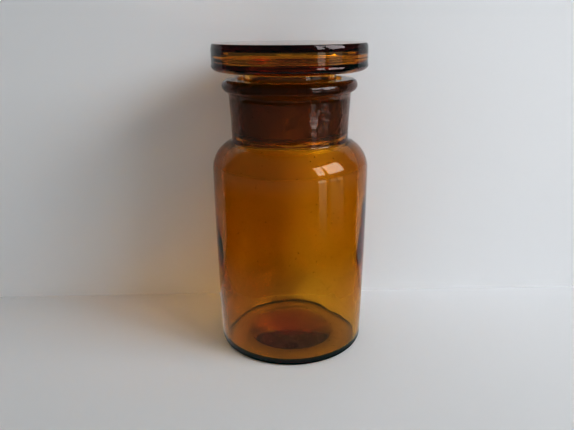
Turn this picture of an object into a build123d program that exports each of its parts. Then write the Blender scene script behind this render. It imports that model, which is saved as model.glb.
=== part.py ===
from build123d import *
from math import cos, radians, sin, tan
import os

# An apothecary jar of amber glass with a hollow glass stopper. Lengths are in millimetres, +Z is up,
# and the origin is the centre of the ring that the jar stands on.

# Jar, outside
body_radius = 35.0          # widest girth, from belly_height up to shoulder_height
base_inset = 1.4            # how much narrower the wall is at the table
heel_fillet = 2.0
shoulder_height = 83.9      # above this the shoulder curves in to the neck
belly_drop = 7.9            # from there down to where the wall starts to narrow slowly towards the base
shoulder_rise = 12.5
shoulder_width = 9.0        # from the body in to the root of the neck
neck_root_fillet = 1.8
neck_flare = 0.95           # how much wider the neck is under its bead
neck_length = 21.4          # from the shoulder to the bead
bead_section_radius = 2.65  # the half-round bead that runs round the lip
bead_fillet = 0.7

# Jar, inside and underneath
shoulder_wall = 4.0
inside_shoulder_drop = 1.8  # how far the inside starts to curve in below the outside
inside_shoulder_round = 13.6
inside_lean = 43.0          # degrees that the shoulder's inside has leaned over when it runs on as a cone
inside_neck_fillet = 7.0    # where that cone meets the bore of the neck
floor_edge_thickness = 1.5
floor_dome_radius = 20.0    # the floor is a dome inside this radius and sweeps out level to the wall
floor_slope = 20.0          # degrees, at the edge of the dome
floor_fillet = 1.8
standing_ring_width = 3.5   # the flat ring that touches the table, before the heel is rounded
base_recess = 0.7           # how far the base inside that ring is above the table
recess_slope = 10.0         # width over which the base slopes up to it

# Ground joint between jar and stopper
lip_width = 4.45            # from the mouth to the middle of the bead
mouth_fillet = 0.8
joint_taper = 1 / 20        # change of radius per length, which is 1:10 on the diameter
joint_clearance = 0.05

# Stopper, outside
disc_gap = 3.5              # between the lip and the underside of the disc
disc_thickness = 11.4
disc_radius = 33.95         # at the mould seam
disc_barrel_rise = 2.6      # over this height the rim curves in towards the top
disc_barrel_inset = 0.58
disc_edge_fillet = 0.5
seam_rise = 2.1             # from the underside of the disc to the seam
seam_flare = 0.27           # how far the rim flares out to the seam
seam_flare_rise = 1.54
underside_round = 3.0
stem_gap = 2.3              # between the stem and the mouth
stem_fillet = 1.4
plug_drop = 1.8             # from the lip down to the top of the plug
plug_shoulder_rise = 1.4    # over this the stem widens to the plug
plug_length = 23.3
plug_toe_fillet = 2.0

# Stopper, blown hollow inside and open at the bottom of the plug
plug_wall = 4.2
plug_mouth_fillet = 0.9
stem_wall = 2.4
stem_bore_rise = 0.6        # from the top of the plug to where its bore has narrowed to the stem's
top_plate = 2.8
under_plate = 2.8
rim_wall = 4.6
cavity_fillet = 2.1         # round corners of the hollow inside the disc
throat_rise = 1.2           # how far the floor of that hollow rises towards its throat
throat_fillet = 1.6         # where the bore of the stem opens into the disc
bore_fillet = 2.5           # where the bore of the plug narrows to the stem

# Jar, places that follow: (radius, height) in its half-section
base_radius = body_radius - base_inset
belly_height = shoulder_height - belly_drop
neck_root_radius = body_radius - shoulder_width
neck_root_height = shoulder_height + shoulder_rise
bead_radius = neck_root_radius + neck_flare
bead_height = neck_root_height + neck_length
lip_height = bead_height + 2 * bead_section_radius
mouth_radius = bead_radius - lip_width
inside_radius = body_radius - shoulder_wall
ring_radius = base_radius - standing_ring_width


def bore_radius(height):
    """Radius of the ground bore in the neck at a height."""
    return mouth_radius - joint_taper * (lip_height - height)


under_middle = (0, base_recess)
recess_edge = (ring_radius - recess_slope, base_recess)
ring_edge = (ring_radius, 0)
heel = (base_radius, 0)
belly = (body_radius, belly_height)
shoulder = (body_radius, shoulder_height)
neck_root = (neck_root_radius, neck_root_height)
bead_root = (bead_radius, bead_height)
bead_top = (bead_radius, lip_height)
mouth = (mouth_radius, lip_height)

# The inside of the shoulder is a round, then a cone that runs on to the bore of the neck
inside_shoulder = (inside_radius, shoulder_height - inside_shoulder_drop)
cone_foot = (
    inside_radius - inside_shoulder_round * (1 - cos(radians(inside_lean))),
    inside_shoulder[1] + inside_shoulder_round * sin(radians(inside_lean)),
)
cone_fall = tan(radians(inside_lean))
inside_neck_height = cone_foot[1] + (cone_foot[0] - bore_radius(cone_foot[1])) / (cone_fall + joint_taper)
inside_neck = (bore_radius(inside_neck_height), inside_neck_height)

# The floor is two arcs that meet at its steepest slope
inside_heel = (inside_radius, floor_edge_thickness + floor_fillet)
floor_end = (inside_radius - floor_fillet, floor_edge_thickness)
slope_height = tan(radians(floor_slope / 2))
floor_bend = (floor_dome_radius, floor_edge_thickness + (floor_end[0] - floor_dome_radius) * slope_height)
floor_middle = (0, floor_bend[1] + floor_dome_radius * slope_height)

# Stopper, places that follow: (radius, height) in its half-section, seated in the jar
underside_height = lip_height + disc_gap
top_height = underside_height + disc_thickness
seam_height = underside_height + seam_rise
rim_radius = disc_radius - seam_flare
stem_radius = mouth_radius - stem_gap
plug_top_height = lip_height - plug_drop
plug_bottom_height = plug_top_height - plug_length
plug_top_radius = bore_radius(plug_top_height) - joint_clearance
plug_bottom_radius = bore_radius(plug_bottom_height) - joint_clearance
stem_bore_radius = stem_radius - stem_wall
cavity_floor_height = underside_height + under_plate
cavity_roof_height = top_height - top_plate
cavity_radius = disc_radius - rim_wall

top_middle = (0, top_height)
top_edge = (rim_radius - disc_barrel_inset, top_height)
rim_top = (rim_radius, top_height - disc_barrel_rise)
rim_foot = (rim_radius, seam_height + seam_flare_rise)
seam = (disc_radius, seam_height)
underside_edge = (disc_radius - underside_round, underside_height)
stem_top = (stem_radius, underside_height)
stem_foot = (stem_radius, plug_top_height + plug_shoulder_rise)
plug_top = (plug_top_radius, plug_top_height)
plug_toe = (plug_bottom_radius, plug_bottom_height)
plug_mouth = (plug_bottom_radius - plug_wall, plug_bottom_height)
plug_bore_top = (plug_top_radius - plug_wall, plug_top_height - plug_wall)
stem_bore_foot = (stem_bore_radius, plug_top_height + stem_bore_rise)
throat = (stem_bore_radius, cavity_floor_height + throat_rise)
cavity_foot = (cavity_radius, cavity_floor_height)
cavity_top = (cavity_radius, cavity_roof_height)
cavity_roof_middle = (0, cavity_roof_height)


def corner(section, place):
    """The vertex of a half-section that lies nearest to a place."""
    return section.vertices().sort_by_distance(place)[0]


# Jar: one turned half-section, from the recess under the base round to the floor inside
with BuildPart() as jar:
    with BuildSketch(Plane.XZ) as jar_section:
        with BuildLine():
            Polyline(under_middle, recess_edge, ring_edge, heel)
            TangentArc(belly, heel, tangent=(0, -1))
            Line(belly, shoulder)
            TangentArc(shoulder, neck_root, tangent=(0, 1))
            TangentArc(neck_root, bead_root, tangent=(0, 1))
            TangentArc(bead_root, bead_top, tangent=(1, 0))
            Polyline(bead_top, mouth, inside_neck)
            Line(inside_neck, cone_foot)
            TangentArc(inside_shoulder, cone_foot, tangent=(0, 1))
            Line(inside_shoulder, inside_heel)
            TangentArc(floor_end, inside_heel, tangent=(1, 0))
            TangentArc(floor_end, floor_bend, tangent=(-1, 0))
            TangentArc(floor_middle, floor_bend, tangent=(1, 0))
            Line(floor_middle, under_middle)
        make_face()
        fillet(corner(jar_section, heel), heel_fillet)
        fillet(corner(jar_section, neck_root), neck_root_fillet)
        fillet(corner(jar_section, bead_root), bead_fillet)
        fillet(corner(jar_section, mouth), mouth_fillet)
        fillet(corner(jar_section, inside_neck), inside_neck_fillet)
    revolve(axis=Axis.Z)

# Stopper: disc, stem and plug in one blown piece, hollow from the mouth of the plug to the rim of the disc
with BuildPart() as stopper:
    with BuildSketch(Plane.XZ) as stopper_section:
        with BuildLine():
            Polyline(cavity_roof_middle, top_middle, top_edge)
            TangentArc(rim_top, top_edge, tangent=(0, 1))
            Line(rim_top, rim_foot)
            TangentArc(rim_foot, seam, tangent=(0, -1))
            TangentArc(underside_edge, seam, tangent=(1, 0))
            Polyline(underside_edge, stem_top, stem_foot, plug_top, plug_toe, plug_mouth)
            Polyline(plug_mouth, plug_bore_top, stem_bore_foot, throat)
            Polyline(throat, cavity_foot, cavity_top, cavity_roof_middle)
        make_face()
        fillet(corner(stopper_section, top_edge), disc_edge_fillet)
        fillet(corner(stopper_section, stem_top), stem_fillet)
        fillet(corner(stopper_section, plug_toe), plug_toe_fillet)
        fillet(corner(stopper_section, plug_mouth), plug_mouth_fillet)
        fillet(corner(stopper_section, plug_bore_top), bore_fillet)
        fillet(corner(stopper_section, stem_bore_foot), bore_fillet)
        fillet(corner(stopper_section, throat), throat_fillet)
        fillet(corner(stopper_section, cavity_foot), cavity_fillet)
        fillet(corner(stopper_section, cavity_top), cavity_fillet)
    revolve(axis=Axis.Z)

jar.part.label = "jar"
stopper.part.label = "stopper"

os.makedirs("parts", exist_ok=True)
export_step(jar.part, "parts/jar.step")
export_step(stopper.part, "parts/stopper.step")
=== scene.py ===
# %% [markdown]
# # A jar of amber glass with a ground stopper
# The object is two pieces of brown glass: a jar with a rounded shoulder, and a hollow stopper whose plug is
# ground to fit the neck. Both are bodies of revolution, so the modelling is drawing two half-sections well.
# Most of the look comes from light on its way through coloured glass, so the lesson then spends its time on
# the glass and the light. The measured solids are loaded first: they say where each piece is and how large it
# may be.

# %% Load the measured solids
import math

import bpy
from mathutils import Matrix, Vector


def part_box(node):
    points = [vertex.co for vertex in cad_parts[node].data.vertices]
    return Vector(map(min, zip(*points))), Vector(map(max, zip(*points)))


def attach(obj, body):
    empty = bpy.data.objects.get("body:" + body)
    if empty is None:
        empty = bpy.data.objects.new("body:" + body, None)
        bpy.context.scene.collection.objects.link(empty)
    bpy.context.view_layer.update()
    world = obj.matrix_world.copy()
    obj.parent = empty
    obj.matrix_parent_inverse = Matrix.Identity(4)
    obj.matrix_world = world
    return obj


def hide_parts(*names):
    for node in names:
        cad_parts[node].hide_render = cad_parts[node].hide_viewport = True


MM = 0.001  # sizes are in millimetres unless a comment says otherwise, and Blender works in metres

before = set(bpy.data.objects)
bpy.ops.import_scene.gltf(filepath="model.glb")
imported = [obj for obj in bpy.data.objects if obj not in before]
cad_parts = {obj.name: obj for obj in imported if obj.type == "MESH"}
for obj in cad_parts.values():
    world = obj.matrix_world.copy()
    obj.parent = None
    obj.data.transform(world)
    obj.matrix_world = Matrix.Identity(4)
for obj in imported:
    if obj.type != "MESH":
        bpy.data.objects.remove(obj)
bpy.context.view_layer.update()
jar_low, jar_high = (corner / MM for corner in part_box("jar"))
stopper_low, stopper_high = (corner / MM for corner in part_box("stopper"))
print("jar", [round(size, 2) for size in jar_high - jar_low], "mm")
print("stopper", [round(size, 2) for size in stopper_high - stopper_low], "mm")

# %% [markdown]
# ## A pen for half-sections
# A turned piece can start from a cylinder that is extruded ring by ring, but a wall with an inside and an
# outside is easier to keep even when its whole outline is drawn once and spun. The pen is a plane merged to
# one vertex, which is extruded from place to place. Round stretches are arcs. Straight stretches get a point
# close to each end, because smooth shading would otherwise bend the reflections on them.

# %% The pen
TURN_STEPS = 240
SAME_PLACE = 0.01  # places in an outline that are nearer than this are one
MERGE_DISTANCE = 0.002


def steps(start, end, count):
    """Even steps from start to end, with both ends."""
    return [start + (end - start) * i / count for i in range(count + 1)]


def arc(centre, size, start, end, step=6.0):
    """Places on a round stretch, between two angles in degrees."""
    count = max(2, math.ceil(abs(end - start) / step))
    angles = [math.radians(angle) for angle in steps(start, end, count)]
    return [(centre[0] + size * math.cos(a), centre[1] + size * math.sin(a)) for a in angles]


def straight(start, end, gap=2.5, hold=0.2):
    """Places on a straight stretch: its ends, one place close to each end, and even steps between."""
    length = math.dist(start, end)
    shares = steps(0, 1, max(1, round(length / gap)))
    if length > 4 * hold:
        shares = sorted(shares + [hold / length, 1 - hold / length])
    return [(start[0] + (end[0] - start[0]) * s, start[1] + (end[1] - start[1]) * s) for s in shares]


def fillet_centre(centre, size, wall, fillet, side):
    """Centre of a small round that touches an upright wall and a circle.

    It lies outside the wall, and above the circle (side 1) or below it (side -1)."""
    across = wall + fillet
    return across, centre[1] + side * math.sqrt((size + fillet) ** 2 - (across - centre[0]) ** 2)


def angle_to(centre, place):
    """The direction from a centre to a place, in degrees."""
    return math.degrees(math.atan2(place[1] - centre[1], place[0] - centre[0]))


def turn(name, outline):
    """Draws an outline of (radius, height) places with one extruded vertex and spins it round the Z axis."""
    places = [Vector((radius, 0, height)) * MM for radius, height in outline]
    apart = [(there - here).length > SAME_PLACE * MM for here, there in zip(places, places[1:])]
    places = places[:1] + [place for place, kept in zip(places[1:], apart) if kept]
    bpy.ops.object.select_all(action="DESELECT")
    bpy.ops.mesh.primitive_plane_add(size=MM)
    piece = bpy.context.object
    piece.name = piece.data.name = name
    bpy.ops.object.mode_set(mode="EDIT")
    bpy.ops.mesh.merge(type="CENTER")
    bpy.ops.transform.translate(value=places[0])
    for here, there in zip(places, places[1:]):
        bpy.ops.mesh.extrude_region_move(TRANSFORM_OT_translate={"value": there - here})
    bpy.ops.mesh.select_all(action="SELECT")
    bpy.ops.mesh.spin(steps=TURN_STEPS, angle=math.tau, center=(0, 0, 0), axis=(0, 0, 1))
    bpy.ops.mesh.select_all(action="SELECT")
    bpy.ops.mesh.remove_doubles(threshold=MERGE_DISTANCE * MM)
    bpy.ops.mesh.normals_make_consistent(inside=False)
    bpy.ops.object.mode_set(mode="OBJECT")
    bpy.ops.object.shade_smooth()
    print(name, len(places), "places in the outline,", len(piece.data.polygons), "faces")
    return piece


# %% [markdown]
# ## The jar, outside
# The wall swells slowly from the table to the belly, and a round shoulder leads to a short neck that flares
# up to a half-round bead. Where two round stretches meet, the small fillet between them is placed so that it
# touches both: a molten edge is never sharp, and a kink would show as a hard line in the glass. Underneath,
# the base is slightly recessed, so that the jar stands on a narrow ring and doesn't rock.

# %% Outside of the jar
body_radius = jar_high.x
lip_height = jar_high.z
base_inset = 1.4
heel_fillet = 2.0
belly_height = 76.0
shoulder_height = 83.9
shoulder_rise = 12.5
neck_root_radius = 26.0
neck_root_fillet = 1.8
neck_flare = 0.95
bead_section = 2.65
bead_fillet = 0.7
standing_ring_width = 3.5
base_recess = 0.7
recess_slope = 10.0

base_radius = body_radius - base_inset
ring_radius = base_radius - standing_ring_width
shoulder_width = body_radius - neck_root_radius
shoulder_round = (shoulder_width**2 + shoulder_rise**2) / (2 * shoulder_width)
shoulder_centre = (body_radius - shoulder_round, shoulder_height)
bead_radius = neck_root_radius + neck_flare
bead_centre = (bead_radius, lip_height - bead_section)
neck_foot = shoulder_height + shoulder_rise
neck_top = lip_height - 2 * bead_section


def wall_radius(height):
    """Radius of the body's outside below the belly."""
    return body_radius - base_inset * ((belly_height - height) / belly_height) ** 2


def neck_radius(height):
    """Radius of the neck's outside, which flares towards the bead."""
    return neck_root_radius + neck_flare * ((height - neck_foot) / (neck_top - neck_foot)) ** 2


root_centre = fillet_centre(shoulder_centre, shoulder_round, neck_root_radius, neck_root_fillet, 1)
root_angle = angle_to(shoulder_centre, root_centre)
under_bead = fillet_centre(bead_centre, bead_section, neck_radius(neck_top), bead_fillet, -1)
under_bead_angle = angle_to(under_bead, bead_centre)
heel_centre = (wall_radius(heel_fillet) - heel_fillet, heel_fillet)

jar_outside = straight((0, base_recess), (ring_radius - recess_slope, base_recess))
jar_outside += straight((ring_radius - recess_slope, base_recess), (ring_radius, 0), gap=0.8)
jar_outside += straight((ring_radius, 0), (heel_centre[0], 0))
jar_outside += arc(heel_centre, heel_fillet, -90, 0)
jar_outside += [(wall_radius(height), height) for height in steps(heel_fillet, belly_height, 24)]
jar_outside += straight((body_radius, belly_height), (body_radius, shoulder_height))
jar_outside += arc(shoulder_centre, shoulder_round, 0, root_angle, step=3)
jar_outside += arc(root_centre, neck_root_fillet, root_angle + 180, 180)
jar_outside += [(neck_radius(height), height) for height in steps(root_centre[1], under_bead[1], 8)]
jar_outside += arc(under_bead, bead_fillet, 180, under_bead_angle)
jar_outside += arc(bead_centre, bead_section, under_bead_angle - 180, 90)
print("shoulder round", round(shoulder_round, 2), "mm, neck radius", round(neck_root_radius, 2), "mm")

# %% [markdown]
# ## The jar, inside
# From the lip the outline goes down the ground bore, out along a cone under the neck, round the inside of the
# shoulder and down the wall to the floor. The bore tapers 1 in 10 on its diameter, as ground joints do, so
# that the plug seats by its own weight and still comes out with a twist. The floor is a lens, because thick
# glass gathers in the middle of a blown base, and it shows as a dark crescent through the wall. It is two
# arcs: a dome in the middle, and a sweep that runs out level to the wall.

# %% Inside of the jar
shoulder_wall = 4.0
inside_shoulder_drop = 1.8
inside_round = 13.6
inside_lean = 43.0  # degrees that the round has leaned over where the cone starts
inside_neck_fillet = 7.0
floor_edge = 1.5
floor_fillet = 1.8
floor_bend = 20.0  # degrees, at the edge of the dome
floor_dome = 20.0
lip_width = 4.45
mouth_fillet = 0.8
joint_taper = 1 / 20

mouth_radius = bead_radius - lip_width
inside_radius = body_radius - shoulder_wall
taper_angle = math.degrees(math.atan(joint_taper))


def bore_radius(height):
    """Radius of the ground bore at a height."""
    return mouth_radius - joint_taper * (lip_height - height)


inside_shoulder = shoulder_height - inside_shoulder_drop
inside_centre = (inside_radius - inside_round, inside_shoulder)
lean_x, lean_z = math.cos(math.radians(inside_lean)), math.sin(math.radians(inside_lean))
cone_foot = (inside_centre[0] + inside_round * lean_x, inside_centre[1] + inside_round * lean_z)
mouth_centre = (bore_radius(lip_height - mouth_fillet) + mouth_fillet, lip_height - mouth_fillet)
foot_radius = bore_radius(neck_foot + inside_neck_fillet) + inside_neck_fillet
foot_height = cone_foot[1] + (inside_neck_fillet - (foot_radius - cone_foot[0]) * lean_x) / lean_z
bore_foot = (foot_radius, foot_height)
cone_top = (bore_foot[0] - inside_neck_fillet * lean_x, bore_foot[1] - inside_neck_fillet * lean_z)
floor_corner = inside_radius - floor_fillet
floor_centre = (floor_corner, floor_edge + floor_fillet)
dome_round = floor_dome / math.sin(math.radians(floor_bend))
sweep_round = (floor_corner - floor_dome) / math.sin(math.radians(floor_bend))
floor_middle = floor_edge + (dome_round + sweep_round) * (1 - math.cos(math.radians(floor_bend)))


def floor_height(radius):
    """Height of the floor inside: a dome of thick glass, which sweeps out level towards the wall."""
    if radius < floor_dome:
        return floor_middle - dome_round + math.sqrt(dome_round**2 - radius**2)
    from_corner = floor_corner - min(radius, floor_corner)
    return floor_edge + sweep_round - math.sqrt(sweep_round**2 - from_corner**2)


jar_inside = straight((bead_radius, lip_height), (mouth_centre[0], lip_height))
jar_inside += arc(mouth_centre, mouth_fillet, 90, 180 - taper_angle)
jar_inside += straight(
    (bore_radius(mouth_centre[1]), mouth_centre[1]), (bore_radius(bore_foot[1]), bore_foot[1])
)
jar_inside += arc(bore_foot, inside_neck_fillet, 180, inside_lean + 180)
jar_inside += straight(cone_top, cone_foot)
jar_inside += arc(inside_centre, inside_round, inside_lean, 0, step=4)
jar_inside += straight((inside_radius, inside_shoulder), (inside_radius, floor_centre[1]))
jar_inside += arc(floor_centre, floor_fillet, 0, -90)
jar_inside += reversed([(radius, floor_height(radius)) for radius in steps(0, floor_corner, 24)])
print("bore ends at", round(bore_foot[1], 2), "mm, floor", round(floor_middle, 2), "mm high in the middle")

jar = turn("jar_glass", jar_outside + jar_inside)

# %% [markdown]
# ## Uneven where it was blown
# The outside took the shape of a mould, but the inside was formed by breath alone, so it is slightly uneven.
# That could be sculpted, and a Displace modifier with a cloud pattern does the same in one step: it swells
# and sinks the surface by a fraction of a millimetre. The pattern is tied to a vertex group, and each vertex
# in it has a weight that fades towards the ends of the group, so the uneven part runs into the even part
# without a step. The jar is calmest near its floor, and from the shoulder up it stays even. The pattern is
# measured from an empty, so a stretched empty draws it out into level streaks, which the rim of the stopper
# will need.

# %% Swell and sink the inside of the jar
SURFACE_REACH = 0.1  # a vertex this near to a surface belongs to it
floor_reach = 0.3  # the same for the floor, which has the base close below it
floor_share = 0.15  # of the unevenness, left at the floor
floor_calm = (6, 36)  # heights that it grows between
shoulder_calm = 20  # length below the shoulder that it fades out over


def fade(value, start, end):
    """0 at start, 1 at end, and a soft slope between them."""
    share = min(1.0, max(0.0, (value - start) / (end - start)))
    return share * share * (3 - 2 * share)


def blow_uneven(piece, weight, size, depth, stretch=1):
    """Moves a piece's surface along its normals by a cloud pattern, as far as weight(radius, height) allows.

    A stretch above 1 draws the pattern out sideways into level streaks."""
    group = piece.vertex_groups.new(name="blown")
    for vertex in piece.data.vertices:
        x, y, z = vertex.co / MM
        amount = weight(math.hypot(x, y), z)
        if amount > 0:
            group.add([vertex.index], amount, "REPLACE")
    clouds = bpy.data.textures.new(piece.name + "_clouds", "CLOUDS")
    clouds.noise_scale = size * MM
    clouds.noise_depth = 1
    uneven = piece.modifiers.new("uneven", "DISPLACE")
    uneven.texture = clouds
    bpy.ops.object.empty_add()
    ruler = bpy.context.object
    ruler.scale = (stretch, stretch, 1)
    uneven.texture_coords = "OBJECT"
    uneven.texture_coords_object = ruler
    uneven.vertex_group = group.name
    uneven.strength = depth * MM
    bpy.context.view_layer.objects.active = piece
    bpy.ops.object.modifier_apply(modifier=uneven.name)
    bpy.data.objects.remove(ruler)
    print(piece.name, "made uneven by up to", depth / 2, "mm")


def inside_jar(radius, height):
    """How freely the jar's inside may move: fully on the wall, little at the floor, not in the shoulder."""
    floor = floor_height(radius)
    above_base = fade(height, floor - 2 * floor_reach, floor - floor_reach)
    above_floor = floor_share + (1 - floor_share) * fade(height, *floor_calm)
    below_shoulder = fade(inside_shoulder - height, 0, shoulder_calm)
    return above_floor * above_base * (radius < inside_radius + SURFACE_REACH) * below_shoulder


blow_uneven(jar, inside_jar, size=20, depth=1.1)

# %% [markdown]
# ## The stopper
# The stopper is one hollow piece: a disc to hold it by, a stem, and a plug that is open below. Light shows
# that the disc is hollow: its plates are nearly black edge on, with a clear amber band between them where
# there is only air. The rim of the disc is slightly barrel-shaped, and flares out to the seam where the two
# halves of its mould met.

# %% Outside of the stopper
disc_radius = stopper_high.x
top_height = stopper_high.z
plug_bottom = stopper_low.z
disc_gap = 3.5
disc_edge_fillet = 0.5
disc_barrel = 6.0
barrel_turn = 22.0  # degrees
seam_rise = 2.1
seam_flare = 4.5
flare_turn = 20.0  # degrees
underside_round = 3.0
stem_gap = 2.3
stem_fillet = 1.4
plug_drop = 1.8
plug_shoulder_rise = 1.4
plug_toe_fillet = 2.0
plug_mouth_fillet = 0.9
joint_clearance = 0.05

underside = lip_height + disc_gap
seam = underside + seam_rise
stem_radius = mouth_radius - stem_gap
plug_top = lip_height - plug_drop
under_edge = disc_radius - underside_round
under_round = (underside_round**2 + seam_rise**2) / (2 * seam_rise)
under_centre = (under_edge, underside + under_round)


def plug_radius(height):
    """Radius of the ground plug at a height."""
    return bore_radius(height) - joint_clearance


def turned(size, degrees):
    """How far an arc that starts upright goes sideways, and how far it rises, while it turns."""
    return size * (1 - math.cos(math.radians(degrees))), size * math.sin(math.radians(degrees))


flare_out, flare_rise = turned(seam_flare, flare_turn)
rim_radius = disc_radius - flare_out
flare_centre = (rim_radius + seam_flare, seam + flare_rise)
barrel_in, barrel_rise = turned(disc_barrel, barrel_turn)
edge_in, edge_rise = turned(disc_edge_fillet, barrel_turn)
barrel_centre = (rim_radius - disc_barrel, top_height - disc_edge_fillet + edge_rise - barrel_rise)
top_centre = (rim_radius - barrel_in - disc_edge_fillet + edge_in, top_height - disc_edge_fillet)
stem_centre = (stem_radius + stem_fillet, underside - stem_fillet)
toe_centre = (plug_radius(plug_bottom + plug_toe_fillet) - plug_toe_fillet, plug_bottom + plug_toe_fillet)

stopper_outside = straight((0, top_height), (top_centre[0], top_height))
stopper_outside += arc(top_centre, disc_edge_fillet, 90, barrel_turn)
stopper_outside += arc(barrel_centre, disc_barrel, barrel_turn, 0, step=3)
stopper_outside += straight((rim_radius, barrel_centre[1]), (rim_radius, flare_centre[1]))
stopper_outside += arc(flare_centre, seam_flare, 180, 180 + flare_turn, step=3)
stopper_outside += arc(under_centre, under_round, angle_to(under_centre, (disc_radius, seam)), -90)
stopper_outside += straight((under_edge, underside), (stem_centre[0], underside))
stopper_outside += arc(stem_centre, stem_fillet, 90, 180)
stopper_outside += straight((stem_radius, stem_centre[1]), (stem_radius, plug_top + plug_shoulder_rise))
stopper_outside += straight(
    (stem_radius, plug_top + plug_shoulder_rise), (plug_radius(plug_top), plug_top), gap=0.8
)
stopper_outside += straight((plug_radius(plug_top), plug_top), (plug_radius(toe_centre[1]), toe_centre[1]))
stopper_outside += arc(toe_centre, plug_toe_fillet, -taper_angle, -90)
print("disc", round(top_height - underside, 2), "mm thick, plug", round(plug_top - plug_bottom, 2), "mm long")

# %% [markdown]
# ## The stopper, inside
# The inside follows the outside with a wall of a few millimetres, and widens into the disc through a round
# throat. Its corners are round, because air pushed into soft glass leaves no sharp ones.

# %% Inside of the stopper
plug_wall = 4.2
stem_wall = 2.4
stem_bore_rise = 0.6
bore_blend = 1.5
top_plate = 2.8
under_plate = 2.8
rim_wall = 4.6
cavity_fillet = 2.1
throat_fillet = 1.6
throat_rise = 1.2

cavity_floor = underside + under_plate
cavity_roof = top_height - top_plate
cavity_radius = disc_radius - rim_wall
low_corner = (cavity_radius - cavity_fillet, cavity_floor + cavity_fillet)
high_corner = (cavity_radius - cavity_fillet, cavity_roof - cavity_fillet)
stem_bore = stem_radius - stem_wall
bore_narrows = (plug_top - plug_wall - bore_blend, plug_top + stem_bore_rise + bore_blend)
throat_centre = (stem_bore + throat_fillet, cavity_floor + throat_rise - throat_fillet)
mouth_edge = (plug_radius(plug_bottom) - plug_wall + plug_mouth_fillet, plug_bottom + plug_mouth_fillet)


def plug_bore(height):
    """Radius of the hollow in the plug, which draws in softly to the bore of the stem."""
    share = fade(height, *bore_narrows)
    return (plug_radius(height) - plug_wall) * (1 - share) + stem_bore * share


stopper_inside = straight((toe_centre[0], plug_bottom), (mouth_edge[0], plug_bottom), gap=0.8)
stopper_inside += arc(mouth_edge, plug_mouth_fillet, -90, -180)
stopper_inside += [(plug_bore(height), height) for height in steps(mouth_edge[1], throat_centre[1], 24)]
stopper_inside += arc(throat_centre, throat_fillet, 180, 90)
stopper_inside += straight((throat_centre[0], cavity_floor + throat_rise), (low_corner[0], cavity_floor))
stopper_inside += arc(low_corner, cavity_fillet, -90, 0)
stopper_inside += straight((cavity_radius, low_corner[1]), (cavity_radius, high_corner[1]), gap=0.12)
stopper_inside += arc(high_corner, cavity_fillet, 0, 90)
stopper_inside += straight((high_corner[0], cavity_roof), (0, cavity_roof))

stopper = turn("stopper_glass", stopper_outside + stopper_inside)

# %% [markdown]
# ## Uneven inside the stopper
# The hollow of the stopper is uneven too, more finely than the jar. The inside of its rim gets a second
# pattern, stretched into level streaks, which breaks the amber band between the plates into fine lines.

# %% Swell and sink the inside of the stopper
plug_share = 0.6
plug_calm = (1, 4)  # heights above the plug's lower end that the unevenness grows between
rim_calm = 0.8
rim_reach = 0.3  # wider, because the first pattern has moved this surface already


def inside_stopper(radius, height):
    """How freely the stopper's inside may move: fully in the disc, less in the plug."""
    between_plates = cavity_floor - SURFACE_REACH < height < cavity_roof + SURFACE_REACH
    in_disc = between_plates * (radius < cavity_radius + SURFACE_REACH)
    in_plug = (radius < plug_bore(height) + SURFACE_REACH) * fade(height - plug_bottom, *plug_calm)
    return max(in_disc, plug_share * in_plug * (height < throat_centre[1]))


def inside_rim(radius, height):
    """How freely the inside of the disc's rim may move."""
    above_plate = fade(height, cavity_floor, cavity_floor + rim_calm)
    below_plate = fade(height, cavity_roof, cavity_roof - rim_calm)
    return above_plate * below_plate * (low_corner[0] < radius < cavity_radius + rim_reach)


blow_uneven(stopper, inside_stopper, size=9, depth=0.3)
blow_uneven(stopper, inside_rim, size=1.5, depth=0.5, stretch=60)

# %% [markdown]
# ## A pen for materials
# Shader maths reads best as a formula. A wire is the output of a node, and Python's operators on wires add
# the Math nodes. Every other node comes from one method, which sets the node up first and then fills its
# sockets.

# %% Wires
class Wire:
    """The output of a shader node, which arithmetic works on."""

    def __init__(self, tree, socket=None):
        self.tree = tree
        self.socket = socket

    def node(self, kind, settings=None, inputs=None, output=0):
        """Adds a node, sets it up, gives its sockets values or wires, and returns one of its outputs."""
        made = self.tree.nodes.new(kind)
        for name, value in (settings or {}).items():
            setattr(made, name, value)
        for name, value in (inputs or {}).items():
            if isinstance(value, Wire):
                self.tree.links.new(value.socket, made.inputs[name])
            else:
                made.inputs[name].default_value = value
        return Wire(self.tree, made.outputs[output])

    def math(self, operation, first, second=0.0):
        """Adds a Math node."""
        return self.node("ShaderNodeMath", {"operation": operation}, {0: first, 1: second})

    def __add__(self, other):
        return self.math("ADD", self, other)

    def __sub__(self, other):
        return self.math("SUBTRACT", self, other)

    def __mul__(self, other):
        return self.math("MULTIPLY", self, other)

    def __pow__(self, other):
        return self.math("POWER", self, other)

    def __abs__(self):
        return self.math("ABSOLUTE", self)

    __radd__ = __add__
    __rmul__ = __mul__

    def __rsub__(self, other):
        return self.math("SUBTRACT", other, self)

    def fade(self, start, end):
        """0 at start, 1 at end, and a soft slope between them."""
        return self.node(
            "ShaderNodeMapRange",
            {"interpolation_type": "SMOOTHSTEP"},
            {"Value": self, "From Min": start, "From Max": end},
        )


def new_material(name):
    """An empty material, as the wire to start from and the node that collects its result."""
    material = bpy.data.materials.new(name)
    material.use_nodes = True
    material.node_tree.nodes.clear()
    result = material.node_tree.nodes.new("ShaderNodeOutputMaterial")
    return material, Wire(material.node_tree), result


def mixed(share, first, second):
    """Two colours mixed by a share: 0 is the first, 1 the second."""
    return share.node("ShaderNodeMix", {"data_type": "RGBA"}, {0: share, 6: first, 7: second}, output=2)


def noise(place, scale, detail):
    """A cloudy pattern on a piece, finer with a larger scale."""
    return place.node("ShaderNodeTexNoise", inputs={"Vector": place, "Scale": scale, "Detail": detail})


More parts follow.
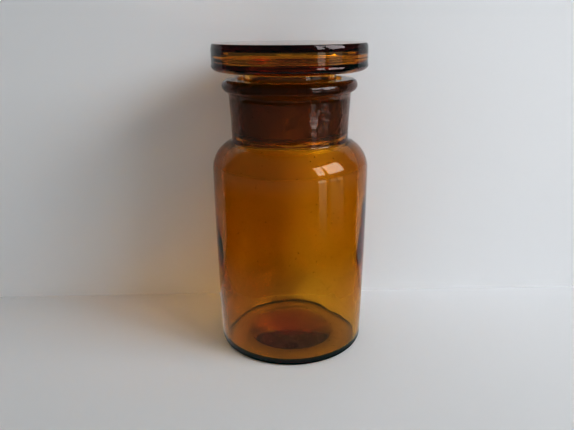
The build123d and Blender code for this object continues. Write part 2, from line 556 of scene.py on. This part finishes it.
# %% [markdown]
# ## Amber glass
# Brown bottle glass is clear glass that swallows blue and most green on the way through, so its colour
# deepens with thickness: thin walls are orange, and the lid's plates seen edge on are nearly black. That
# can't be painted on the surface, so the colour is a Volume Absorption, with a density that suits the thick
# and the thin places. Where plug and neck meet, the surface is ground: a formula for the taper finds those
# faces by their place, makes them rough, and takes some of the light away. Near the lip that band is darker
# still, which is painted shade. The rest is fire-polished, with faint waves and smears, ripples on the neck
# and tiny dark specks. A haze on the inside of the shoulder blurs the second, orange reflection that the
# window would have there.

# %% Amber glass
GLASS_IOR = 1.52
AMBER_COLOUR = (0.932, 0.772, 0.0, 1)
AMBER_DENSITY = 600
GROUND_BAND = (98.2, 121.2)
GROUND_EDGE = 0.5
TAPER_REACH = (0.2, 0.4)
GROUND_ROUGHNESS = 0.75
GROUND_TINT = (0.38, 0.31, 0.23, 1)
# Share of the tint low on the band, where ground glass passes less light, and the painted shade added near
# the lip
GROUND_LOSS_AND_LIP_SHADE = (0.48, 0.36)  # share of the tint low on the band, and what is added near the lip
# Heights that the painted shade near the lip grows over
LIP_SHADE_RISE = (111, 117)
SPECK_TINT = (0.35, 0.27, 0.20, 1)
SPECK_REACH = (0.03, 0.09)  # where a speck fades out, as a share of its cell
SMEARS = 0.02
SMEAR_RANGE = (0.55, 0.8)  # values of the pattern that the smears fade in between
INSIDE_HAZE = 0.32
HAZE_RISE = (58, 94)
HAZE_DEPTH = (9.8, 11)  # from the centre of the shoulder's round: the inside of the wall is nearer than these
WAVES, RIPPLES, SPECKS, GRAIN = 0.06, 0.32, 0.2, 0.05  # heights of the relief
# Cells of each pattern in a metre
WAVE_SCALE, RIPPLE_SCALE, SPECK_SCALE, GRAIN_SCALE, SMEAR_SCALE = 55.0, 220.0, 340.0, 2500.0, 70.0
RIPPLE_RISE = 4  # length above the root of the neck that the ripples grow over


def millimetres(sizes):
    """Sizes in millimetres, as Blender's metres."""
    return [size * MM for size in sizes]


def amber_glass():
    """Fire-polished brown glass, ground matt on the taper of plug and neck."""
    material, wire, result = new_material("amber_glass")
    place = wire.node("ShaderNodeTexCoord", output="Object")
    split = wire.node("ShaderNodeSeparateXYZ", inputs={0: place})
    x, y, z = (Wire(wire.tree, socket) for socket in split.socket.node.outputs)
    radius = (x * x + y * y) ** 0.5

    # Ground where the taper of plug and neck is
    off_taper = abs(radius - z * joint_taper - (mouth_radius - joint_taper * lip_height) * MM)
    low, high = millimetres(GROUND_BAND)
    edge = GROUND_EDGE * MM
    on_taper = 1 - off_taper.fade(*millimetres(TAPER_REACH))
    ground = on_taper * z.fade(low, low + edge) * (1 - z.fade(high, high + edge))
    # Ground glass passes less light, and near the lip painted shade is added on top
    ground_loss_and_lip_shade = ground * (GROUND_LOSS_AND_LIP_SHADE[0] + z.fade(*millimetres(LIP_SHADE_RISE)) * GROUND_LOSS_AND_LIP_SHADE[1])

    # Rough where it is ground, hazy on the inside of the shoulder, smeared elsewhere
    smears = noise(place, SMEAR_SCALE, detail=4.0).fade(*SMEAR_RANGE) * SMEARS
    aside = radius - shoulder_centre[0] * MM
    above = wire.math("MAXIMUM", z - shoulder_height * MM, 0.0)
    from_centre = (aside * aside + above * above) ** 0.5
    under_shoulder = (1 - from_centre.fade(*millimetres(HAZE_DEPTH))) * z.fade(*millimetres(HAZE_RISE))
    roughness = smears * (1 - ground) + ground * GROUND_ROUGHNESS + under_shoulder * INSIDE_HAZE

    # Darker where it is ground, with painted shade near the lip, and in the specks
    cells = wire.node("ShaderNodeTexVoronoi", inputs={"Vector": place, "Scale": SPECK_SCALE})
    specks = 1 - cells.fade(*SPECK_REACH)
    tint = mixed(specks, mixed(ground_loss_and_lip_shade, (1, 1, 1, 1), GROUND_TINT), SPECK_TINT)

    # Relief
    waves = noise(place, WAVE_SCALE, detail=1.0)
    ripples = noise(place, RIPPLE_SCALE, detail=1.0)
    grain = noise(place, GRAIN_SCALE, detail=2.0)
    above_root = z.fade(neck_foot * MM, (neck_foot + RIPPLE_RISE) * MM)
    on_neck = above_root * (1 - z.fade(neck_top * MM, lip_height * MM))
    blown = waves * WAVES + ripples * on_neck * RIPPLES + specks * SPECKS
    relief = blown * (1 - ground) + grain * ground * GRAIN
    bump = wire.node("ShaderNodeBump", inputs={"Strength": 1.0, "Distance": MM, "Height": relief})
    surface = wire.node(
        "ShaderNodeBsdfPrincipled",
        inputs={
            "Base Color": tint,
            "Roughness": roughness,
            "IOR": GLASS_IOR,
            "Transmission Weight": 1.0,
            "Normal": bump,
        },
    )
    inside = wire.node("ShaderNodeVolumeAbsorption", inputs={"Color": AMBER_COLOUR, "Density": AMBER_DENSITY})
    wire.tree.links.new(surface.socket, result.inputs["Surface"])
    wire.tree.links.new(inside.socket, result.inputs["Volume"])
    return material


glass = amber_glass()
for piece in (jar, stopper):
    piece.data.materials.append(glass)
print(glass.name, "on", jar.name, "and", stopper.name)

# %% [markdown]
# ## Ride with the moving bodies
# Each piece stands for its measured solid and moves with that solid's body, so the stopper lifts out of the
# jar.

# %% Bodies
for piece, node in ((jar, "jar"), (stopper, "stopper")):
    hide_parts(node)
    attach(piece, node)

# %% [markdown]
# ## Table and wall
# Glass shows what is around it, so the stage matters as much as the piece. The jar stands on a pale table
# close to a pale wall, and most of what is seen through it is that wall. The wall is a low card that just
# fills the picture, so the light of the room still comes over and round it. It would hide the jar from
# behind, so its back is transparent: a wire from the Geometry node tells the two sides of the plane apart.
# The table lies a hair above the jar's standing ring, so that glass and table touch and no film of air
# between them mirrors the light.

# %% Table and wall
TABLE_SIZE = 8.0  # metres
TABLE_CONTACT = 0.02 * MM
WALL_WIDTH = 335 * MM
WALL_HEIGHT = 172 * MM
WALL_DISTANCE = 42 * MM
WALL_TURN = math.radians(1.4)
TABLE_PAINT = (0.70, 0.70, 0.71, 1)
WALL_PAINT = (0.75, 0.75, 0.76, 1)
MOTTLE_PAINT = (0.5, 0.5, 0.52, 1)
MOTTLE = 0.06
MOTTLE_SCALE = 9.0


def paint(name, colour, one_sided):
    """Pale matt paint with a faint mottle, which only shows from its front if it is one-sided."""
    material, wire, result = new_material(name)
    place = wire.node("ShaderNodeTexCoord", output="Object")
    tone = mixed(noise(place, MOTTLE_SCALE, detail=3.0) * MOTTLE, colour, MOTTLE_PAINT)
    surface = wire.node("ShaderNodeBsdfDiffuse", inputs={"Color": tone})
    if one_sided:
        back = wire.node("ShaderNodeNewGeometry", output="Backfacing")
        clear = wire.node("ShaderNodeBsdfTransparent")
        surface = wire.node("ShaderNodeMixShader", inputs={0: back, 1: surface, 2: clear})
    wire.tree.links.new(surface.socket, result.inputs["Surface"])
    return material


bpy.ops.object.select_all(action="DESELECT")
bpy.ops.mesh.primitive_plane_add(size=TABLE_SIZE, location=(0, 0, TABLE_CONTACT))
table = bpy.context.object
table.name = "table"
table.data.materials.append(paint("table_paint", TABLE_PAINT, one_sided=False))

bpy.ops.object.select_all(action="DESELECT")
bpy.ops.mesh.primitive_plane_add(
    size=1, location=(0, WALL_DISTANCE, WALL_HEIGHT / 2), rotation=(math.pi / 2, 0, WALL_TURN)
)
wall = bpy.context.object
wall.name = "wall"
wall.scale = (WALL_WIDTH, WALL_HEIGHT, 1)
bpy.ops.object.transform_apply(location=False, rotation=False, scale=True)
wall.data.materials.append(paint("wall_paint", WALL_PAINT, one_sided=True))
print("wall", WALL_DISTANCE / MM, "mm behind the middle of the jar")

# %% [markdown]
# ## Window light
# The light is a window to the right of the camera, in two panes with a bar between them, so the shoulder of
# the jar carries a bright patch with a dark line in it. Area lights of the window's size give the soft shadow
# as well. A third, weak lamp stands in for light that the room throws on the wall to the right of the jar. It
# is hidden from reflections, so it leaves no patch of its own on the glass.

# %% Window
LOOK_AT = Vector((0, 0, 80)) * MM
WINDOW_DISTANCE = 1.5  # metres
WINDOW_RADIANCE = 6.65
WINDOW_COLOUR = (0.935, 0.972, 1.0)
WINDOW_PANES = {"window_left": (40, 50.5), "window_right": (57.5, 85)}  # sides, in degrees
WINDOW_HEIGHTS = (14, 43)  # degrees
FILL_SIDES = (52, 74)  # degrees
FILL_DISTANCE = 0.7  # metres
FILL_RADIANCE = 0.42
FILL_SPREAD = math.radians(36)
FILL_AIM = Vector((80, 40, 60)) * MM


def seen_at(azimuth, elevation, distance):
    """A place around the jar: azimuth in degrees to the right of the front, elevation in degrees."""
    a, e = math.radians(azimuth), math.radians(elevation)
    return LOOK_AT + distance * Vector((math.sin(a) * math.cos(e), -math.cos(a) * math.cos(e), math.sin(e)))


def pane(name, sides, distance, radiance):
    """An area light that fills these angles at a distance and faces the jar."""
    middle = seen_at(sum(sides) / 2, sum(WINDOW_HEIGHTS) / 2, distance)
    bpy.ops.object.light_add(type="AREA", location=middle)
    lamp = bpy.context.object
    lamp.name = name
    lamp.rotation_euler = (LOOK_AT - middle).to_track_quat("-Z", "Y").to_euler()
    lamp.data.shape = "RECTANGLE"
    lamp.data.size = 2 * distance * math.tan(math.radians(sides[1] - sides[0]) / 2)
    lamp.data.size_y = 2 * distance * math.tan(math.radians(WINDOW_HEIGHTS[1] - WINDOW_HEIGHTS[0]) / 2)
    lamp.data.energy = math.pi * lamp.data.size * lamp.data.size_y * radiance
    lamp.data.color = WINDOW_COLOUR
    lamp.visible_camera = False
    print(name, round(lamp.data.size, 2), "by", round(lamp.data.size_y, 2), "m")
    return lamp


for name, sides in WINDOW_PANES.items():
    pane(name, sides, WINDOW_DISTANCE, WINDOW_RADIANCE)
fill = pane("fill", FILL_SIDES, FILL_DISTANCE, FILL_RADIANCE)
fill.rotation_euler = (FILL_AIM - fill.location).to_track_quat("-Z", "Y").to_euler()
fill.data.spread = FILL_SPREAD
fill.visible_glossy = False

# %% [markdown]
# ## What the glass mirrors
# Polished glass mirrors whatever stands around it, and a pale table all round would make the brown glass look
# milky. A black card would cure that, but it would hide the table's own gleam too. So reflections see a sheet
# of their own just above the table, a painted reflection: it glows dimly close to the jar and far away, and
# is dark between. On it lie two trails, painted reflections of the window's gleam on the table. They run as
# upright streaks down the right of the glass, and since the neck and the lid mirror more distant places than
# the body does, a trail's strength by distance sets each of them.

# %% Painted reflections of the table and the trails
# Brightness of the painted table reflection close to the jar and far away
MIRRORED_NEAR = 0.62
MIRRORED_FAR = 0.3
# The foot of the jar, where the near glow fades out, and where the far one fades in
MIRRORED_REACH = (34, 45, 150, 280, 360)
# The sides of a painted trail in degrees, where it starts and ends, and its strength
PAINTED_TRAILS = {
    "trail_left": ((39.0, 50.5), (165, 3900), 1.4),
    "trail_right": ((56.5, 79.0), (165, 3900), 0.55),
}
MIRRORED_HEIGHT, TRAIL_HEIGHT = 0.05, 0.1
TRAIL_GAINS = ((0.4, 0.7, 2.6), (1.2, 1.8, -1.5))  # from and to a distance in metres, and what is added


def glow(name, tone):
    """A material that only glows, as painted light, by a tone of its distance from the middle of the table.
    """
    material, wire, result = new_material(name)
    place = wire.node("ShaderNodeTexCoord", output="Object")
    distance = wire.node("ShaderNodeVectorMath", {"operation": "LENGTH"}, {0: place}, output=1)
    surface = wire.node("ShaderNodeEmission", inputs={"Color": tone(distance), "Strength": 1.0})
    wire.tree.links.new(surface.socket, result.inputs["Surface"])
    return material


def painted_reflection_tone(distance):
    """The painted reflection of the table: dim close to the jar and far away, and dark between."""
    foot, near_end, dark_start, dark_end, far_start = millimetres(MIRRORED_REACH)
    near = distance.fade(foot, foot + MM) * (1 - distance.fade(near_end, dark_start))
    return near * MIRRORED_NEAR + distance.fade(dark_end, far_start) * MIRRORED_FAR


def painted_trail_tone(distance, start, strength):
    """The painted gleam of the window on the table, which fades in from where it starts and changes farther
    away.
    """
    tone = distance.fade(start * MM, 2 * start * MM)
    for near, far, gain in TRAIL_GAINS:
        tone = tone + distance.fade(near, far) * gain
    return tone * strength


def sheet(name, corners, height, material):
    """A sheet just above the table that paints a reflection: seen by reflections and by nothing else."""
    bpy.ops.object.select_all(action="DESELECT")
    bpy.ops.mesh.primitive_plane_add(size=1)
    made = bpy.context.object
    made.name = name
    for vertex, (x, y) in zip(made.data.vertices, corners):
        vertex.co = Vector((x, y, height)) * MM
    made.data.materials.append(material)
    for kind in ("camera", "diffuse", "transmission", "volume_scatter", "shadow"):
        setattr(made, "visible_" + kind, False)


half = TABLE_SIZE / MM / 2
table_corners = [(x, y) for y in (-half, half) for x in (-half, half)]
# The painted reflection of the table, which only the glass shows
sheet("painted_table_reflection", table_corners, MIRRORED_HEIGHT, glow("painted_table_reflection_glow", painted_reflection_tone))
# Painted reflections of the window's gleam on the table, which only the glass shows
for name, (sides, reaches, strength) in PAINTED_TRAILS.items():
    angles = [math.radians(side) for side in sides]
    corners = [(reach * math.sin(a), -reach * math.cos(a)) for reach in reaches for a in angles]
    painted_trail = glow(name, lambda distance: painted_trail_tone(distance, reaches[0], strength))
    sheet(name, corners, TRAIL_HEIGHT, painted_trail)
print(len(PAINTED_TRAILS), "trails on the table")

# %% [markdown]
# ## Room light
# The rest of the room is one even, slightly warm light from all sides. It could be a picture of a room, but
# only its level matters here. The Light Path node makes it dimmer for reflections, so that the brown glass
# stays deep.

# %% Room light
ROOM_COLOUR = (0.99, 0.985, 0.972, 1)
ROOM_STRENGTH = 0.46
ROOM_MIRRORED = 0.15

world = bpy.data.worlds.new("room")
bpy.context.scene.world = world
world.use_nodes = True
room = Wire(world.node_tree)
mirrored = room.node("ShaderNodeLightPath", output="Is Glossy Ray")
background = world.node_tree.nodes["Background"]
background.inputs["Color"].default_value = ROOM_COLOUR
strength = ROOM_STRENGTH - mirrored * (ROOM_STRENGTH - ROOM_MIRRORED)
world.node_tree.links.new(strength.socket, background.inputs["Strength"])
print("room light", ROOM_STRENGTH, "and", ROOM_MIRRORED, "in reflections")

# %% [markdown]
# ## Camera
# The camera stands close, a little above the lid, and looks down on the jar. Its distance and tilt were
# worked out from how round the rims look. The lens is given as a focal length in pixels of a picture 574
# pixels wide.

# %% Camera
PICTURE_WIDTH = 574
FOCAL_PIXELS = 575
CAMERA_PLACE = Vector((-1.59, -256.6, 145.6)) * MM
CAMERA_PITCH = math.radians(18.4)
CAMERA_ROLL = math.radians(-0.46)

bpy.ops.object.camera_add(location=CAMERA_PLACE)
camera = bpy.context.object
camera.name = "camera"
camera.rotation_mode = "ZYX"
camera.rotation_euler = (math.pi / 2 - CAMERA_PITCH, 0, CAMERA_ROLL)
camera.data.sensor_width = 36
camera.data.lens = FOCAL_PIXELS * camera.data.sensor_width / PICTURE_WIDTH
camera.data.clip_start = 0.01
bpy.context.scene.camera = camera
print("lens", round(camera.data.lens, 2), "mm")

# %% [markdown]
# ## Light paths and colour
# A ray crosses eight glass surfaces on its way through jar and stopper and may be reflected in between, so it
# gets more bounces than usual. Caustics stay on and unclamped, because they tint the shadow. The view
# transform is the plain one, with a gamma that adds a camera's contrast, and a small black level in red keeps
# the darkest glass from looking maroon.

# %% Light paths and colour
BOUNCES = 24
GLOSSY_BOUNCES = 8
CONTRAST = 1.4
RED_BLACK_LEVEL = 0.018

scene = bpy.context.scene
scene.cycles.max_bounces = BOUNCES
scene.cycles.transmission_bounces = BOUNCES
scene.cycles.glossy_bounces = GLOSSY_BOUNCES
scene.cycles.caustics_refractive = True
scene.cycles.caustics_reflective = True
scene.cycles.blur_glossy = 0.0
scene.cycles.sample_clamp_indirect = 0.0
scene.cycles.use_denoising = True
scene.view_settings.view_transform = "Standard"
scene.view_settings.gamma = 1 / CONTRAST
scene.view_settings.use_curve_mapping = True
scene.view_settings.curve_mapping.black_level = (RED_BLACK_LEVEL, 0, 0)
scene.view_settings.curve_mapping.update()
print("up to", scene.cycles.max_bounces, "bounces")
